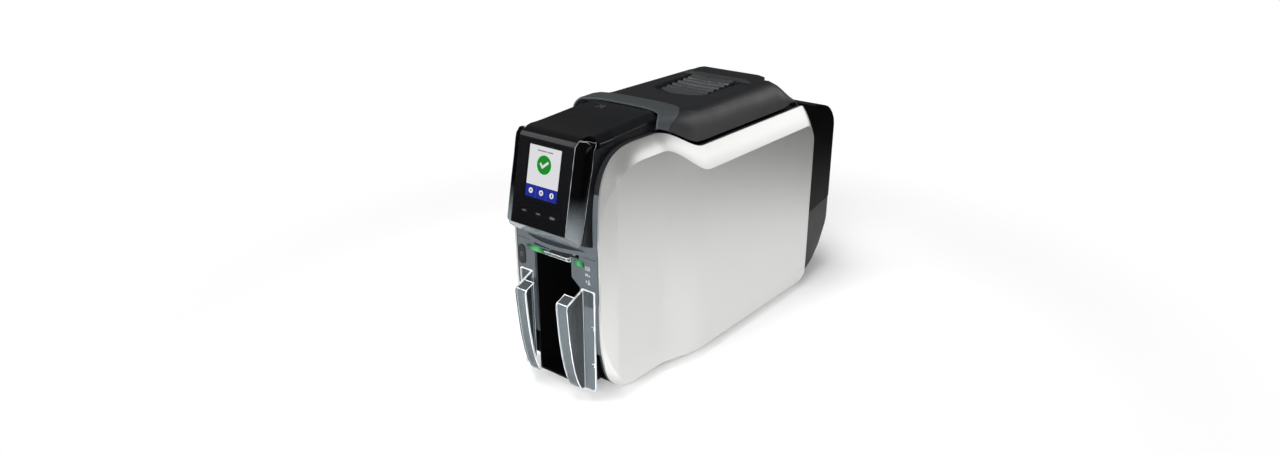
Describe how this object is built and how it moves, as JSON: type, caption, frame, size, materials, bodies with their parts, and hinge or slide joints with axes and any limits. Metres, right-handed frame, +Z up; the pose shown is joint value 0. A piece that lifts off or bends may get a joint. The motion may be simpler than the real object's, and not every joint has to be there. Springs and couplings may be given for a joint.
{
  "type": "id card printer",
  "caption": "Desk-top card printer with silver side panels, tilting display door, hinged top cover, clear output wings and a card turn-over station.",
  "frame": {"origin": "middle of the bounding box on the surface that the feet stand on", "axes": "+Y points to the back of the printer, +X to its right side seen from the front, +Z up"},
  "size_m": [0.155, 0.452, 0.27],
  "materials": {
    "graphite": "fine texture",
    "cover_grey": "fine texture",
    "collar_grey": "satin",
    "gloss_black": "gloss",
    "silver": "satin metallic paint",
    "clear": "clear",
    "smoke": "smoked clear",
    "light_pipe": "frosted",
    "display_glass": "polished",
    "steel": "plated sheet",
    "aluminium": "satin",
    "brass": "turned",
    "rubber": "matt",
    "acetal": "moulded",
    "board": "solder mask",
    "ribbon": "film",
    "blue_roller": "tacky"
  },
  "bodies": {
    "housing": {"base_housing": "graphite", "side_panel_right": "silver", "side_panel_left": "silver", "front_fascia": "graphite", "head_housing": "graphite", "bay_liner": "gloss_black", "wing_right": "clear", "wing_left": "clear", "card_guide": "clear", "slot_light_left": "light_pipe", "slot_light_right": "light_pipe", "input_hopper": "graphite", "path_plate": "steel", "frame_plate_right": "steel", "frame_plate_left": "steel", "frame_ties": "steel", "roller_bushes": "acetal", "rear_cover": "gloss_black", "rear_lower_cover": "graphite", "power_inlet": "gloss_black", "usb_port": "steel", "network_port": "steel", "main_board": "board", "power_supply": "aluminium", "feed_motor": "steel", "panel_screws": "steel", "rubber_feet": "rubber", "hinge_pins": "steel", "ribbon_film": "ribbon"},
    "cover": {"top_cover": "cover_grey", "cover_crown": "cover_grey", "cover_collar": "collar_grey", "cover_liner": "graphite", "head_bracket": "steel", "printhead": "aluminium"},
    "tab": {"release_tab": "cover_grey"},
    "door": {"front_door": "gloss_black", "visor_lens": "smoke", "display_module": "board", "display_glass": "display_glass"},
    "menu_left": {"menu_button_left": "graphite"},
    "menu_middle": {"menu_button_middle": "graphite"},
    "menu_right": {"menu_button_right": "graphite"},
    "power": {"power_button": "graphite"},
    "bin": {"reject_bin": "graphite"},
    "platen": {"platen_roller": "rubber", "platen_gear": "acetal"},
    "front_feed": {"front_roller": "rubber", "front_roller_gear": "acetal"},
    "rear_feed": {"rear_roller": "rubber", "rear_roller_gear": "acetal"},
    "idler_front": {"front_idler": "acetal"},
    "idler_rear": {"rear_idler": "acetal"},
    "pinion": {"motor_pinion": "brass"},
    "pinch_front": {"front_pinch_roller": "rubber"},
    "pinch_rear": {"rear_pinch_roller": "rubber"},
    "cleaner": {"cleaning_roller": "blue_roller"},
    "supply": {"supply_spool": "ribbon"},
    "takeup": {"takeup_spool": "ribbon"},
    "turner": {"flip_table": "graphite"}
  },
  "joints": [
    {"name": "cover_hinge", "type": "hinge", "parent": "housing", "child": "cover", "pos_m": [0, 0.134, 0.222], "axis": [-1, 0, 0], "range_deg": [0, 68]},
    {"name": "tab_lift", "type": "hinge", "parent": "cover", "child": "tab", "pos_m": [0, 0.058, 0.2625], "axis": [-1, 0, 0], "range_deg": [0, 20], "stiffness_Nm_per_rad": 0.05, "springref_deg": -11.46},
    {"name": "door_hinge", "type": "hinge", "parent": "housing", "child": "door", "pos_m": [0, -0.205, 0.167], "axis": [1, 0, 0], "range_deg": [0, 60]},
    {"name": "menu_left_press", "type": "slide", "parent": "door", "child": "menu_left", "axis": [0, 0.9781, -0.2079], "range_m": [0, 0.0008], "stiffness_N_per_m": 300},
    {"name": "menu_middle_press", "type": "slide", "parent": "door", "child": "menu_middle", "axis": [0, 0.9781, -0.2079], "range_m": [0, 0.0008], "stiffness_N_per_m": 300},
    {"name": "menu_right_press", "type": "slide", "parent": "door", "child": "menu_right", "axis": [0, 0.9781, -0.2079], "range_m": [0, 0.0008], "stiffness_N_per_m": 300},
    {"name": "power_press", "type": "slide", "parent": "housing", "child": "power", "axis": [0, 1, 0], "range_m": [0, 0.001], "stiffness_N_per_m": 300},
    {"name": "bin_tip", "type": "hinge", "parent": "housing", "child": "bin", "pos_m": [0, 0.176, 0.028], "axis": [-1, 0, 0], "range_deg": [0, 26]},
    {"name": "platen_spin", "type": "hinge", "parent": "housing", "child": "platen", "pos_m": [0, 0.003, 0.1405], "axis": [1, 0, 0], "continuous": true},
    {"name": "front_feed_spin", "type": "hinge", "parent": "housing", "child": "front_feed", "pos_m": [0, -0.03, 0.142], "axis": [1, 0, 0], "continuous": true},
    {"name": "rear_feed_spin", "type": "hinge", "parent": "housing", "child": "rear_feed", "pos_m": [0, 0.036, 0.142], "axis": [1, 0, 0], "continuous": true},
    {"name": "front_idler_spin", "type": "hinge", "parent": "housing", "child": "idler_front", "pos_m": [0, -0.01607, 0.12765], "axis": [1, 0, 0], "continuous": true},
    {"name": "rear_idler_spin", "type": "hinge", "parent": "housing", "child": "idler_rear", "pos_m": [0, 0.02207, 0.12765], "axis": [1, 0, 0], "continuous": true},
    {"name": "pinion_spin", "type": "hinge", "parent": "housing", "child": "pinion", "pos_m": [0, 0.003, 0.1195], "axis": [1, 0, 0], "continuous": true},
    {"name": "front_pinch_spin", "type": "hinge", "parent": "housing", "child": "pinch_front", "pos_m": [0, -0.03, 0.1538], "axis": [1, 0, 0], "continuous": true},
    {"name": "rear_pinch_spin", "type": "hinge", "parent": "housing", "child": "pinch_rear", "pos_m": [0, 0.036, 0.1538], "axis": [1, 0, 0], "continuous": true},
    {"name": "cleaner_spin", "type": "hinge", "parent": "housing", "child": "cleaner", "pos_m": [0, -0.072, 0.1568], "axis": [1, 0, 0], "continuous": true},
    {"name": "supply_spin", "type": "hinge", "parent": "housing", "child": "supply", "pos_m": [0, 0.06, 0.204], "axis": [1, 0, 0], "continuous": true},
    {"name": "takeup_spin", "type": "hinge", "parent": "housing", "child": "takeup", "pos_m": [0, -0.051, 0.202], "axis": [1, 0, 0], "continuous": true},
    {"name": "turner_spin", "type": "hinge", "parent": "housing", "child": "turner", "pos_m": [0, 0.179, 0.148], "axis": [1, 0, 0], "continuous": true}
  ],
  "couplings": [
    {"joint": "front_feed_spin", "follows": "platen_spin", "ratio": 1.25},
    {"joint": "rear_feed_spin", "follows": "platen_spin", "ratio": 1.25},
    {"joint": "front_idler_spin", "follows": "platen_spin", "ratio": -1.875},
    {"joint": "rear_idler_spin", "follows": "platen_spin", "ratio": -1.875},
    {"joint": "pinion_spin", "follows": "platen_spin", "ratio": -2.5},
    {"joint": "front_pinch_spin", "follows": "platen_spin", "ratio": -1.5},
    {"joint": "rear_pinch_spin", "follows": "platen_spin", "ratio": -1.5}
  ]
}
